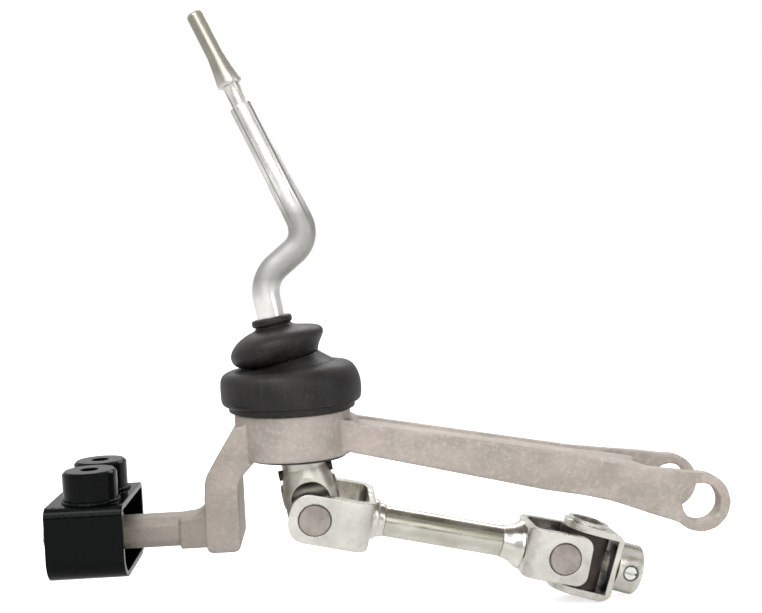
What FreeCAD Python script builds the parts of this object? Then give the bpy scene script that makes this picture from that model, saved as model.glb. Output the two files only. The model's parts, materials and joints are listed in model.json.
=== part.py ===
import FreeCAD, Part
import math
import os

# Remote gearshift mechanism of a vehicle transmission, in millimetres.
# Origin: middle of the two gearbox ears, on their bore axis. +X runs from the bracket to the ears,
# +Y away from the viewer's side, +Z up.

V = FreeCAD.Vector
X_AXIS, Y_AXIS, Z_AXIS = V(1, 0, 0), V(0, 1, 0), V(0, 0, 1)

# Driving dimensions
# Fits
running_fit = 0.05        # radial play of a turning pin
seat_fit = 0.02           # radial play between two pieces fixed to each other
soft_gap = 0.3            # space between rubber and what moves beside it
swing_gap = 0.7           # space beside a block that swings between yoke ears
end_play = 0.1            # between the end of a piece and what stops it
overlap = 5.0             # how far a shape reaches into, or past, what it joins or cuts
lap = 1.0                 # the same where there is little room
clear = 150.0             # reach of a cut that goes right through

# Carrier casting
ear_bore_r = 11.0
ear_outer_r = 16.9
ear_half_span = 36.0
ear_thickness = 11.0
ear_shoulder = 16.65       # height of the beam's top edge over the ears' axis
ear_heel = 9.3             # depth below that axis at which its underside ends
ring_to_ears = 231.3      # ring axis to ear bore axis, along X
ring_top_z = 61.2
ring_height = 26.3
ring_outer_r = 34.0
socket_r = 27.0
beam_half_width = 19.0
beam_wall = 5.0
beam_web = 5.0
beam_web_drop = 1.8       # web top below the beam's top edges
beam_depth = 24.0
beam_root_depth = 17.0
beam_fall = 0.1955        # the beam's top drops by this share of its length
beam_start_drop = 7.0     # top of the beam below the ring's top, at the ring
beam_top_r = 25.0
beam_heel_r = 8.0
beam_belly_r = 40.0
beam_knee_r = 60.0
beam_root = 20.0          # the beam's stations are measured from the ring axis
beam_knee = 145.0         # the beam is deepest from here on
splay_start = 168.0
splay_end = 203.0
splay_r = 30.0
ear_root_inner_r = 12.0
ear_root_outer_r = 10.0
web_end = 206.0
web_mouth_r = 14.0
first_rib = 62.0
rib_pitch = 44.7
rib_width = 3.5
rib_count = 4
rib_spread = 0.25          # each rib widens with the splay by this share
pad_reach = 4.0            # the ring's pad at the beam's root
pad_drop = 4.5
pad_fall = 1.0
pad_foot = 3.0
leg_thickness = 19.5
leg_half_depth = 22.0
leg_reach = 52.0          # ring axis to the leg's outer face
leg_inner_r = 14.0
leg_shoulder_r = 16.0
leg_corner_r = 4.0
leg_root_drop = 3.5        # below the ring's top, at the leg's root and at the ring's edge
leg_edge_drop = 6.0
leg_shoulder_drop = 8.0    # below the ring's underside: shoulder, straight part and crook
leg_straight_drop = 20.0
leg_crook_drop = 11.0
leg_root_rise = 2.0
leg_taper = 1.0
leg_foot = 2.0
stub_height = 17.5
stub_depth = 22.0
stub_chamfer = 4.0
stub_edge_r = 1.2
stub_z = -6.0
gusset_length = 16.0
gusset_rise = 11.0
gusset_side = 1.5
gusset_r = 9.0
gusset_edge_r = 2.0
spigot_r = 9.0
spigot_set_back = 3.0      # spigot's end inside the bracket's outer face
stub_screw_r = 4.0

# Body bracket
bracket_length = 43.5
bracket_half_depth = 36.0
bracket_height = 43.3
bracket_top = 17.0
bracket_wall = 3.2
bracket_top_bend = 6.0
bracket_bottom_bend = 14.0
bracket_centre_x = -349.5
boss_r = 15.4
boss_height = 17.8
boss_edge = 1.5
boss_hole_r = 5.25
boss_spacing = 32.0
bush_sleeve_wall = 3.0
bush_proud = 1.2          # rubber standing out of the bracket's outer end
bush_sleeve_set_back = 0.5  # sleeve's end behind the rubber's face
bush_recess = 7.0         # rubber set back from the bracket's inner end
bush_slot_place = 22.0
bush_slot_width = 8.0
bush_slot_reach = 11.0
washer_r = 12.0
washer_thickness = 2.0
screw_head_r = 7.5
screw_head_height = 5.3
screw_head_sides = 6
stub_screw_length = 22.0
boss_shift = 1.15         # bosses beside the bracket's middle, along X

# Lever and its pivot
pivot_offset = 2.0        # pivot axis beside the ring axis
pivot_drop = 13.8         # pivot below the ring's top
lever_lean = 9.7          # degrees from upright, as it stands
link_roll = 7.0           # degrees that the link's front joint is turned, as it hangs
rod_r = 8.0
grip_rod_r = 7.1
tip_r = 5.1
neck_r = 4.9
flare_r = 7.3
lower_run = 92.6          # pivot to lower bend
middle_run = 36.0
middle_angle = 51.1
upper_run = 146.0
upper_angle = 24.1
lower_bend_r = 20.0
upper_bend_r = 15.0
neck_start = 86.5         # along the upper run, from the upper bend
neck_length = 12.5
shank_length = 26.0         # full diameter goes on this far past the upper bend
shoulder_edge = 1.2
flare_edge = 0.9
tip_edge = 2.0
flare_length = 19.0
select_ring_r = 24.5
select_ring_wall = 6.0
select_ring_height = 12.0
pivot_pin_r = 4.0
trunnion_r = 4.0
trunnion_bush_wall = 2.0
trunnion_depth = 4.0
trunnion_root = 1.5
ball_half_height = 11.5
ball_pin_set_back = 0.5
seat_plate = 2.2
seat_ledge = 2.0
seat_room = 12.0           # space cut below the ring for the lower seat
seat_opening_r = 20.5
lower_flange_r = 29.6
lower_flange = 1.8
lower_flange_edge = 1.0
lower_seat_rise = 3.2

# Universal joints and link
joint_pin_r = 5.0
joint_pin_set_back = 1.5    # pin's end inside the yoke's outer face
cap_r = 9.7
cap_edge = 0.8
front_offset = 10.8       # between the two crossed pins of the front joint
rear_offset = 14.0        # the same at the rear joint
block_r = 10.0
lug_r = 7.2
rear_lug_r = 15.0           # the rear block fills the coupling's fork
lever_arch_r = 10.5
lever_yoke_gap = 22.4
lever_yoke_ear = 4.4
lever_yoke_half_depth = 14.5
lever_bell_r = 17.0         # the fork's outside is round like a bell
lever_cap_r = 7.5
lever_sleeve_r = 13.25
lever_sleeve_start = 15.5   # below the pivot, along the lever
lever_crotch = 28.0
lever_shoulder = 5.0        # the bell widens from here below the sleeve's start
lever_cheek = 4.0
lever_cheek_r = 6.0
lever_waist = 6.0
lever_yoke_end = 12.5       # pin axis to the ear's end
lever_ear_r = 11.5
shaft_pin_drop = 47.1       # pivot to the link's first pin, along the lever
cross_pin_r = 3.0
cross_pin_length = 32.0
cross_pin_drop = 23.3
yoke_half_span = 21.0
yoke_plate = 4.5
yoke_half_height = 14.75
front_ear_end = 14.8
rear_ear_end = 15.4
front_base = 34.5           # pin axis to the outer face of the yoke's base
rear_base = 23.5
yoke_bend_r = 9.5
yoke_base_r = 2.0
front_corner_r = 11.0
rear_corner_r = 7.0
link_span = 150.0
link_slope = 14.0
link_r = 9.2
front_weld_r = 11.2
front_weld_length = 5.0
rear_weld_r = 13.0
rear_weld_length = 7.0
weld_rim = 0.6
weld_sink = 0.4
coupling_slope = 18.0
coupling_half_width = 14.3
coupling_base = 21.5        # pin axis to the outer face of the base
coupling_bend_r = 8.0
coupling_ear_r = 13.8
coupling_cap_proud = 6.0    # the upper cup stands out of its ear
coupling_collar_r = 12.2    # raised round it on the ear
coupling_collar_height = 2.0
sleeve_r = 15.0
sleeve_length = 15.2
sleeve_edge = 1.0
sleeve_bore_r = 7.5
lock_screw_r = 4.0
lock_screw_length = 6.0
lock_screw_drop = 0.6       # below the sleeve's outside
screw_slot_width = 1.2
screw_slot_depth = 1.6

# Rubber boot
boot_lip_r = 37.0
boot_lip_width = 6.5
boot_lip_edge = 0.4
boot_ring_r = 41.5
boot_ring_low = 3.5         # bulge starts this far above the casting
boot_ring_high = 25.5
boot_foot_rise = 3.0
boot_crown_width = 9.0      # the bulge's rounded top edge
boot_crown_drop = 6.0
boot_edge_width = 4.0
boot_edge_drop = 1.5
boot_mouth_r = 25.8
boot_wall = 2.2
valley_height = 29.5
valley_tilt = 14.0
valley_shift = -3.6
valley_r = 20.8
fold_gap = 0.4
# shift from the ring axis, height over the ring, tilt and radius of the fold's middle sections
fold_sections = [(-6.3, 34.3, 14.3, 26.4), (-6.3, 38.8, 14.3, 27.9), (-6.6, 42.2, 14.6, 26.6),
                 (-7.6, 45.4, 13.0, 21.0)]
fold_end_shift = -8.6
fold_end_height = 48.2
fold_end_r = 10.7
collar_drop = 63.3          # pivot to the foot of the collar, along the lever
collar_r = 11.8
collar_width = 4.2
groove_r = 10.3


# Derived places
ring_x = -ring_to_ears
pivot_x = ring_x + pivot_offset
pivot = V(pivot_x, 0, ring_top_z - pivot_drop)
ring_bottom_z = ring_top_z - ring_height
yoke_gap = 2 * (yoke_half_span - yoke_plate)


def slope(degrees):
    """Unit vector that points right and down by so many degrees."""
    return V(math.cos(math.radians(degrees)), 0, -math.sin(math.radians(degrees)))


def leaned(degrees):
    """Unit vector that points up and left by so many degrees from upright."""
    return V(-math.sin(math.radians(degrees)), 0, math.cos(math.radians(degrees)))


lever_up = leaned(lever_lean)
lever_side = V(lever_up.z, 0, -lever_up.x)
roll = FreeCAD.Rotation(lever_side, link_roll)
block_up = roll.multVec(lever_up)
front_axis = roll.multVec(Y_AXIS)
link_dir = roll.multVec(slope(link_slope))
heading = V(link_dir.x, link_dir.y, 0).normalize()
rear_axis = Z_AXIS.cross(heading)
droop = math.radians(coupling_slope)
coupling_dir = heading * math.cos(droop) - Z_AXIS * math.sin(droop)
coupling_up = coupling_dir.cross(rear_axis)
lever_pin = pivot - lever_up * (shaft_pin_drop - front_offset)
front_pin = lever_pin - block_up * front_offset
rear_pin = front_pin + link_dir * link_span
coupling_pin = rear_pin + coupling_dir * rear_offset


def save(name, *shapes):
    shape = shapes[0] if len(shapes) == 1 else Part.makeCompound(list(shapes))
    shape.exportStep(f"parts/{name}.step")


def rod(start, axis, radius, length):
    return Part.makeCylinder(radius, length, start, axis)


def through(centre, axis, radius, half):
    """Cylinder that reaches as far each way from its centre."""
    return rod(centre - axis * half, axis, radius, 2 * half)


def tube(start, axis, outer, inner, length):
    return rod(start, axis, outer, length).cut(rod(start, axis, inner, length))


def block(x, y, z):
    return Part.makeBox(x[1] - x[0], y[1] - y[0], z[1] - z[0], V(x[0], y[0], z[0]))


def outline(points, radii):
    """Closed face through the points, each corner rounded to its own radius."""
    edges = []
    ends = []
    count = len(points)
    for i, corner in enumerate(points):
        before = (points[i - 1] - corner).normalize()
        after = (points[(i + 1) % count] - corner).normalize()
        radius = radii[i] if isinstance(radii, (list, tuple)) else radii
        half = before.getAngle(after) / 2
        if radius <= 0:
            ends.append((corner, corner, None))
            continue
        back = radius / math.tan(half)
        middle = corner + (before + after).normalize() * (radius / math.sin(half) - radius)
        ends.append((corner + before * back, corner + after * back, middle))
    for i, (first, last, middle) in enumerate(ends):
        if middle is not None:
            edges.append(Part.Arc(first, middle, last).toShape())
        following = ends[(i + 1) % count][0]
        if last.distanceToPoint(following) > 1e-6:
            edges.append(Part.makeLine(last, following))
    return Part.Face(Part.Wire(edges))


def side_prism(points, radii, low, high):
    """Outline in the XZ plane, drawn out along Y."""
    return outline([V(x, low, z) for x, z in points], radii).extrude(V(0, high - low, 0))


def plan_prism(points, radii, low, high):
    """Outline in the XY plane, drawn out along Z."""
    return outline([V(x, y, low) for x, y in points], radii).extrude(V(0, 0, high - low))


def end_prism(points, radii, low, high):
    """Outline in the YZ plane, drawn out along X."""
    return outline([V(low, y, z) for y, z in points], radii).extrude(V(high - low, 0, 0))


def turned(points, centre, axis):
    """Solid of revolution from (radius, height) points."""
    side = V(1, 0, 0) if abs(axis.x) < 0.9 else V(0, 0, 1)
    side = (side - axis * side.dot(axis)).normalize()
    ring = [centre + side * r + axis * h for r, h in points]
    return Part.Face(Part.makePolygon(ring + [ring[0]])).revolve(centre, axis, 360)


def placed(shape, origin, along, up):
    """Move a piece drawn along X, with Z up, to its place in the mechanism."""
    across = up.cross(along)
    matrix = FreeCAD.Matrix(along.x, across.x, up.x, origin.x,
                            along.y, across.y, up.y, origin.y,
                            along.z, across.z, up.z, origin.z, 0, 0, 0, 1)
    return shape.transformed(matrix)


def beam_top(x):
    """Height of the beam's top edges at a distance from the ring axis."""
    return ring_top_z - beam_start_drop - beam_fall * (x - ring_outer_r)


# Carrier casting
def from_ring(x):
    return ring_x + x


def carrier_arm(side):
    """Plan of one arm: along the beam, splayed outwards, then the ear."""
    ear_in, wall_in = ear_half_span - ear_thickness, beam_half_width - beam_wall
    ear_end = ear_outer_r + overlap
    points = [(from_ring(beam_root), wall_in), (from_ring(splay_start), wall_in),
              (from_ring(splay_end), ear_in), (ear_end, ear_in), (ear_end, ear_half_span),
              (from_ring(splay_end + overlap), ear_half_span), (from_ring(splay_start), beam_half_width),
              (from_ring(beam_root), beam_half_width)]
    radii = [0, splay_r, ear_root_inner_r, 0, 0, ear_root_outer_r, splay_r, 0]
    return plan_prism([(x, side * y) for x, y in points], radii, -clear, clear)


def beam():
    """Two arms with their ears, the web between them and the ribs below it."""
    belly = splay_end - 4 * overlap
    points = [(from_ring(beam_root), beam_top(beam_root)), (from_ring(splay_end), beam_top(splay_end)),
              (0, ear_shoulder), (0, -ear_outer_r), (-ear_outer_r, -ear_heel),
              (from_ring(belly), beam_top(belly) - beam_depth),
              (from_ring(beam_knee), beam_top(beam_knee) - beam_depth),
              (from_ring(beam_root), beam_top(beam_root) - beam_root_depth)]
    radii = [0, beam_top_r, 0, 0, beam_heel_r, beam_belly_r, beam_knee_r, 0]
    half = ear_half_span + overlap
    profile = side_prism(points, radii, -half, half).fuse(through(V(0, 0, 0), Y_AXIS, ear_outer_r, half))
    pieces = [profile.common(carrier_arm(1).fuse(carrier_arm(-1)))]

    web_low = beam_web_drop + beam_web
    web = side_prism([(from_ring(beam_root), beam_top(beam_root) - beam_web_drop),
                      (from_ring(web_end), beam_top(web_end) - beam_web_drop),
                      (from_ring(web_end), beam_top(web_end) - web_low),
                      (from_ring(beam_root), beam_top(beam_root) - web_low)],
                     0, -beam_half_width, beam_half_width)
    wall_in, ear_in = beam_half_width - beam_wall, ear_half_span - ear_thickness
    joined = wall_in + lap
    web = web.common(plan_prism([(from_ring(beam_root), -joined), (from_ring(splay_start), -joined),
                                 (from_ring(web_end), -ear_in), (from_ring(web_end), ear_in),
                                 (from_ring(splay_start), joined), (from_ring(beam_root), joined)],
                                0, -clear, clear))
    pieces.append(web.cut(through(V(from_ring(web_end + 2 * overlap), 0, 0), Z_AXIS, web_mouth_r, clear)))
    for i in range(rib_count):
        station = first_rib + i * rib_pitch
        top = beam_top(station) - beam_web_drop
        half = wall_in + max(lap / 2, (station - splay_start) * rib_spread)
        middle = from_ring(station)
        pieces.append(block((middle - rib_width / 2, middle + rib_width / 2), (-half, half),
                            (beam_top(station) - beam_root_depth + 2 * lap, top - lap)))
    return pieces


def leg_and_stub():
    """The leg under the ring, and the eight-sided stub with its spigot."""
    leg_out, leg_in = from_ring(-leg_reach), from_ring(leg_thickness - leg_reach)
    foot_z = stub_z - stub_height / 2 - leg_foot
    leg = side_prism(
        [(from_ring(-beam_root), ring_top_z - leg_root_drop),
         (from_ring(lap - ring_outer_r), ring_top_z - leg_edge_drop),
         (leg_out + leg_taper, ring_bottom_z - leg_shoulder_drop),
         (leg_out, ring_bottom_z - leg_straight_drop), (leg_out, foot_z), (leg_in, foot_z),
         (leg_in, ring_bottom_z - leg_crook_drop),
         (from_ring(-beam_root), ring_bottom_z + leg_root_rise)],
        [0, leg_corner_r, leg_shoulder_r, 0, leg_corner_r, leg_corner_r, leg_inner_r, 0],
        -leg_half_depth, leg_half_depth)
    half_d, half_h = stub_depth / 2, stub_height / 2
    cut_d, cut_h = half_d - stub_chamfer, half_h - stub_chamfer
    corners = ((-half_d, -cut_h), (-cut_d, -half_h), (cut_d, -half_h), (half_d, -cut_h),
               (half_d, cut_h), (cut_d, half_h), (-cut_d, half_h), (-half_d, cut_h))
    stub = end_prism([(y, stub_z + z) for y, z in corners], stub_edge_r,
                     bracket_centre_x + bracket_length / 2 - bush_recess, leg_out + overlap)
    spigot = rod(V(bracket_centre_x - bracket_length / 2 + spigot_set_back, 0, stub_z), X_AXIS, spigot_r,
                 bracket_length - bush_recess)
    gusset_out, gusset_end = half_d + gusset_side, leg_out - gusset_length
    top, bottom = stub_z + half_h, stub_z - half_h
    gusset = side_prism([(gusset_end, top - lap), (leg_out - gusset_length / 3, top),
                         (leg_out + 2 * lap, top + gusset_rise), (leg_out + 2 * lap, bottom),
                         (gusset_end, bottom)], [0, gusset_r, 0, 0, 0], -gusset_out, gusset_out)
    sole = end_prism([(-gusset_out, bottom - lap), (gusset_out, bottom - lap), (gusset_out, stub_z),
                      (-gusset_out, stub_z)], [gusset_edge_r, gusset_edge_r, 0, 0],
                     gusset_end, leg_out + 2 * lap)
    return [leg, stub, spigot, gusset, sole]


def carrier_casting():
    pad_end = ring_outer_r + pad_reach
    pad = side_prism([(from_ring(beam_root), ring_top_z - pad_drop),
                      (from_ring(ring_outer_r), ring_top_z - pad_drop - pad_fall),
                      (from_ring(pad_end), beam_top(pad_end)),
                      (from_ring(pad_end), beam_top(pad_end) - beam_root_depth),
                      (from_ring(beam_root), ring_bottom_z + pad_foot)], 0, -beam_half_width, beam_half_width)
    ring = rod(V(ring_x, 0, ring_bottom_z), Z_AXIS, ring_outer_r, ring_height)
    body = ring.fuse([pad] + beam() + leg_and_stub())
    cuts = [rod(V(pivot_x, 0, ring_bottom_z - lap), Z_AXIS, socket_r, ring_height + 2 * lap),
            rod(V(pivot_x, 0, ring_top_z - seat_plate), Z_AXIS, socket_r + seat_ledge, seat_plate + lap),
            rod(V(pivot_x, 0, ring_bottom_z - seat_room), Z_AXIS, lower_flange_r + soft_gap, seat_room),
            through(V(0, 0, 0), Y_AXIS, ear_bore_r, clear),
            rod(V(bracket_centre_x - bracket_length / 2, 0, stub_z), X_AXIS, stub_screw_r, stub_screw_length)]
    for side in (1, -1):
        start = V(pivot_x + side * (socket_r - lap), 0, pivot.z)
        cuts.append(rod(start, X_AXIS * side, trunnion_r + trunnion_bush_wall, trunnion_depth + lap))
    body = body.cut(cuts).removeSplitter()

    # one casting in truth, kept as its ring, leg, spigot, arms and web, which meet face to face
    everywhere = (-clear, clear)
    leg_out, right = from_ring(-leg_reach), ring_x + ring_outer_r + 2 * lap
    ring_zone = block((ring_x - ring_outer_r, right), everywhere, (ring_bottom_z, clear))
    beam_zone = block((right, clear), everywhere, everywhere)
    near_zone, far_zone = carrier_arm(-1).common(beam_zone), carrier_arm(1).common(beam_zone)
    save("pivot_ring", body.common(ring_zone))
    save("carrier_leg", body.common(block((leg_out, right), everywhere, everywhere)).cut(ring_zone))
    save("carrier_spigot", body.common(block((bracket_centre_x - clear, leg_out), everywhere, everywhere)))
    save("near_arm", body.common(near_zone))
    save("far_arm", body.common(far_zone))
    save("arm_web", body.common(beam_zone).cut([near_zone, far_zone]))


# Ball pivot in the ring
def pivot_pieces():
    ring_in = select_ring_r - select_ring_wall
    half = select_ring_height / 2
    root = select_ring_r - trunnion_root
    select = tube(pivot - Z_AXIS * half, Z_AXIS, select_ring_r, ring_in, select_ring_height)
    bushes = []
    for side in (1, -1):
        axis = X_AXIS * side
        select = select.fuse(rod(pivot + axis * root, axis, trunnion_r,
                                 socket_r + trunnion_depth - 4 * end_play - root))
        bushes.append(tube(pivot + axis * (socket_r + end_play), axis,
                           trunnion_r + trunnion_bush_wall - seat_fit, trunnion_r + running_fit,
                           trunnion_depth - 2 * end_play))
    select = select.cut(through(pivot, Y_AXIS, pivot_pin_r + running_fit, select_ring_r + overlap))
    hub = Part.makeSphere(ring_in - soft_gap, pivot)
    trim = placed(block((-clear, clear), (-clear, clear), (-ball_half_height, ball_half_height)),
                  pivot, lever_side, lever_up)
    hub = hub.common(trim).cut(through(pivot, lever_up, rod_r + seat_fit, clear))
    hub = hub.cut(through(pivot, Y_AXIS, pivot_pin_r + seat_fit, clear))
    pin = through(pivot, Y_AXIS, pivot_pin_r, select_ring_r - ball_pin_set_back)
    save("select_ring", select.removeSplitter())
    save("select_bushes", *bushes)
    save("lever_ball", hub)
    save("pivot_pin", pin)
    upper_start = V(pivot_x, 0, ring_top_z - seat_plate)
    upper = tube(upper_start, Z_AXIS, socket_r + seat_ledge - seat_fit, seat_opening_r, seat_plate)
    flange_top = -lower_seat_rise
    flange_foot = flange_top - lower_flange
    lower = turned([(seat_opening_r, 0), (socket_r - seat_fit, 0), (socket_r - seat_fit, flange_top),
                    (lower_flange_r, flange_top), (lower_flange_r - lower_flange_edge, flange_foot),
                    (seat_opening_r, flange_foot)], V(pivot_x, 0, ring_bottom_z + lower_seat_rise), Z_AXIS)
    save("upper_seat", upper)
    save("lower_seat", lower)


# Lever
def bent_rod(points, bends, radius):
    """Round bar along straight runs joined by tangent arcs."""
    edges = []
    start = points[0]
    for i, bend in enumerate(bends, start=1):
        corner = points[i]
        before = (points[i - 1] - corner).normalize()
        after = (points[i + 1] - corner).normalize()
        half = before.getAngle(after) / 2
        back = bend / math.tan(half)
        middle = corner + (before + after).normalize() * (bend / math.sin(half) - bend)
        edges.append(Part.makeLine(start, corner + before * back))
        edges.append(Part.Arc(corner + before * back, middle, corner + after * back).toShape())
        start = corner + after * back
    edges.append(Part.makeLine(start, points[-1]))
    first = (points[1] - points[0]).normalize()
    profile = Part.Wire(Part.Circle(points[0], first, radius).toShape())
    return Part.Wire(edges).makePipeShell([profile], True, True)


def shift_lever():
    low_corner = pivot + lever_up * lower_run
    high_corner = low_corner + leaned(-middle_angle) * middle_run
    up = leaned(upper_angle)
    foot = pivot - lever_up * (lever_crotch - lap)
    shank_end = high_corner + up * shank_length
    lower = bent_rod([foot, low_corner, high_corner, shank_end], [lower_bend_r, upper_bend_r], rod_r)
    step = rod_r - grip_rod_r
    neck_z = neck_start - shank_length
    flare_z = neck_z + neck_length
    top_z = upper_run - shank_length
    points = [(0, 0), (rod_r, 0), (grip_rod_r, 3 * step), (grip_rod_r, neck_z - shoulder_edge),
              (grip_rod_r - shoulder_edge, neck_z), (neck_r, neck_z), (neck_r, flare_z),
              (flare_r - flare_edge, flare_z), (flare_r, flare_z + flare_edge),
              (flare_r, flare_z + 3 * flare_edge),
              (tip_r, flare_z + flare_length), (tip_r, top_z - tip_edge), (tip_r - tip_edge, top_z),
              (0, top_z)]
    upper = turned(points, shank_end, up)
    lever = lower.fuse(upper)
    lever = lever.cut(through(pivot, Y_AXIS, pivot_pin_r + seat_fit, clear))
    lever = lever.cut(through(pivot - lever_up * cross_pin_drop, lever_side, cross_pin_r + seat_fit, clear))
    return lever.removeSplitter()


def lever_yoke():
    """Drawn with the lever's axis as Z and its sideways direction as X."""
    half, depth = lever_yoke_gap / 2 + lever_yoke_ear, lever_yoke_half_depth
    pin_z = -(shaft_pin_drop - front_offset)
    end_z = pin_z - lever_yoke_end
    shoulder_z, cheek_z = -lever_sleeve_start - lever_shoulder, -lever_crotch - lever_cheek
    sleeve = rod(V(0, 0, -lever_crotch), Z_AXIS, lever_sleeve_r, lever_crotch - lever_sleeve_start)
    fork = side_prism([(-lever_sleeve_r, shoulder_z), (-half, cheek_z), (-half, end_z), (half, end_z),
                       (half, cheek_z), (lever_sleeve_r, shoulder_z)],
                      [0, lever_cheek_r, 0, 0, lever_cheek_r, 0], -depth, depth)
    rounding = end_prism([(-depth, 0), (-depth, end_z), (depth, end_z), (depth, 0)],
                         [0, lever_ear_r, lever_ear_r, 0], -half - lap, half + lap)
    low = end_z - overlap
    waist = turned([(0, 0), (lever_sleeve_r, 0), (lever_sleeve_r, shoulder_z),
                    (lever_bell_r, -lever_crotch - lever_waist), (lever_bell_r, low), (0, low)],
                   V(0, 0, 0), Z_AXIS)
    gap_half = lever_yoke_gap / 2
    gap = side_prism([(-gap_half, -lever_crotch), (-gap_half, low), (gap_half, low),
                      (gap_half, -lever_crotch)], [lever_arch_r, 0, 0, lever_arch_r], -clear, clear)
    yoke = fork.common(rounding).common(waist).fuse(sleeve).cut(gap)
    yoke = yoke.cut(rod(V(0, 0, lap / 2 - lever_crotch), Z_AXIS, rod_r + seat_fit, lever_crotch))
    yoke = yoke.cut(through(V(0, 0, -cross_pin_drop), X_AXIS, cross_pin_r + seat_fit, clear))
    yoke = yoke.cut(through(V(0, 0, pin_z), X_AXIS, lever_cap_r + seat_fit, clear))
    return placed(yoke.removeSplitter(), pivot, lever_side, lever_up)


def end_caps(centre, axis, outer, inner, radius=cap_r, proud=(0, 0)):
    """Two blind bearing cups that close the ears of a yoke, standing out by so much at each end."""
    caps = []
    for side, height in zip((1, -1), proud):
        out = axis * side
        face = outer + height
        cup = rod(centre + out * inner, out, radius, face - inner)
        cup = cup.fuse(Part.makeCone(radius, radius - cap_edge, cap_edge, centre + out * face, out))
        cup = cup.cut(rod(centre + out * (inner - lap), out, joint_pin_r + running_fit, outer - inner))
        caps.append(cup.removeSplitter())
    return caps


# Universal joints
def joint_block(first, second, first_axis, second_axis, first_half, second_half, along, offset, end_r):
    """Block on two crossed pins: a barrel on the first and a rounded lug on the second."""
    barrel = through(first, first_axis, block_r, first_half)
    lug = through(second, second_axis, end_r, second_half)
    neck = placed(block((0, offset), (-lug_r, lug_r), (-second_half, second_half)), first, along,
                  second_axis)
    solid = barrel.fuse([lug, neck])
    solid = solid.cut(through(first, first_axis, joint_pin_r + seat_fit, first_half + overlap))
    solid = solid.cut(through(second, second_axis, joint_pin_r + seat_fit, second_half + overlap))
    return solid.removeSplitter()


def bent_yoke(half_span, plate, half_height, ear_end, base, bend, corner):
    """U-shaped yoke of bent plate, drawn along X with its pin on Y at the origin."""
    inner = max(bend - plate, lap / 2)
    open_end, inside = -ear_end - overlap, half_span - plate
    outer_shape = plan_prism([(-ear_end, -half_span), (base, -half_span), (base, half_span),
                              (-ear_end, half_span)], [0, bend, bend, 0], -half_height, half_height)
    hollow = plan_prism([(open_end, -inside), (base - plate, -inside), (base - plate, inside),
                         (open_end, inside)], [0, inner, inner, 0],
                        -half_height - overlap, half_height + overlap)
    side = side_prism([(-ear_end, -half_height), (base, -half_height), (base, half_height),
                       (-ear_end, half_height)], [corner, yoke_base_r, yoke_base_r, corner],
                      -half_span - overlap, half_span + overlap)
    yoke = outer_shape.cut(hollow).common(side)
    return yoke.cut(through(V(0, 0, 0), Y_AXIS, cap_r + seat_fit, half_span + overlap))


def shaft_yoke(base, ear_end, corner_r, weld_r, weld_length):
    yoke = bent_yoke(yoke_half_span, yoke_plate, yoke_half_height, ear_end, base, yoke_bend_r, corner_r)
    weld = Part.makeCone(weld_r, link_r + weld_rim, weld_length, V(base - weld_sink, 0, 0), X_AXIS)
    return yoke.fuse(weld).cut(rod(V(base - yoke_plate - lap, 0, 0), X_AXIS, link_r + seat_fit, clear))


def link():
    front = shaft_yoke(front_base, front_ear_end, front_corner_r, front_weld_r, front_weld_length)
    rear = shaft_yoke(rear_base, rear_ear_end, rear_corner_r, rear_weld_r, rear_weld_length)
    save("front_shaft_yoke", placed(front, front_pin, link_dir, link_dir.cross(front_axis)))
    save("rear_shaft_yoke", placed(rear, rear_pin, link_dir.negative(), link_dir.cross(rear_axis)))
    start = front_pin + link_dir * (front_base - yoke_plate)
    save("link_shaft", rod(start, link_dir, link_r, link_span - front_base - rear_base + 2 * yoke_plate))
    cup_start = yoke_half_span - yoke_plate + end_play
    pin_half = yoke_half_span - joint_pin_set_back
    barrel_half = yoke_gap / 2 - swing_gap / 2
    lug_half = lever_yoke_gap / 2 - soft_gap
    save("front_shaft_caps", *end_caps(front_pin, front_axis, yoke_half_span, cup_start))
    save("rear_shaft_caps", *end_caps(rear_pin, rear_axis, yoke_half_span, cup_start))
    save("front_shaft_pin", through(front_pin, front_axis, joint_pin_r, pin_half))
    save("rear_shaft_pin", through(rear_pin, rear_axis, joint_pin_r, pin_half))
    save("front_joint_block", joint_block(front_pin, lever_pin, front_axis, lever_side, barrel_half,
                                          lug_half, block_up, front_offset, lug_r))
    save("rear_joint_block", joint_block(rear_pin, coupling_pin, rear_axis, coupling_up, barrel_half,
                                         barrel_half, coupling_dir, rear_offset, rear_lug_r))
    lever_pin_half = lever_yoke_gap / 2 + lever_yoke_ear - joint_pin_set_back
    save("lever_yoke_pin", through(lever_pin, lever_side, joint_pin_r, lever_pin_half))
    save("coupling_pin", through(coupling_pin, coupling_up, joint_pin_r, pin_half))


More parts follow.
